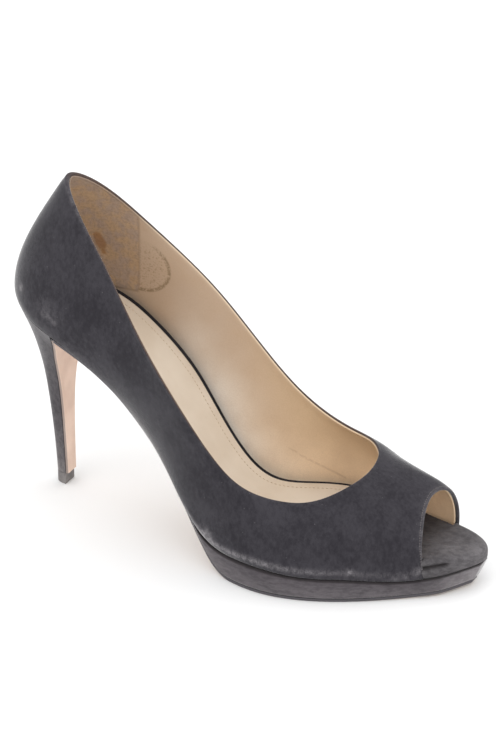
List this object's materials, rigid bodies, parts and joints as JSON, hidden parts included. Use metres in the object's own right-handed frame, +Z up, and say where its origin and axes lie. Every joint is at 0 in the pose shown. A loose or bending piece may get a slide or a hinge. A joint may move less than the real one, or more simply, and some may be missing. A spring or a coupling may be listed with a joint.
{
  "type": "peep-toe platform pump",
  "caption": "Right-foot women's pump: hollow suede upper with a peep toe, covered platform, tall slim covered heel, leather-lined and open at the topline.",
  "frame": {"origin": "on the floor below the middle of the shoe's bounding box", "axes": "+X from heel to toe, +Y towards the medial side, +Z up from the floor"},
  "size_m": [0.2392, 0.0852, 0.1651],
  "materials": {
    "sole_leather": "smooth sole leather with a dark painted edge",
    "platform_suede": "charcoal suede, rubbed grey",
    "insole_suede": "black suede",
    "sock_leather": "pale smooth leather",
    "upper_suede": "charcoal suede",
    "heel_suede": "charcoal suede",
    "nude_leather": "smooth nude leather",
    "lift_rubber": "matt rubber"
  },
  "bodies": {
    "root": {"outsole": "sole_leather", "platform": "platform_suede", "insole": "insole_suede", "sock": "sock_leather", "upper": "upper_suede", "heel": "heel_suede", "heel_breast": "nude_leather", "top_lift": "lift_rubber"}
  },
  "joints": []
}
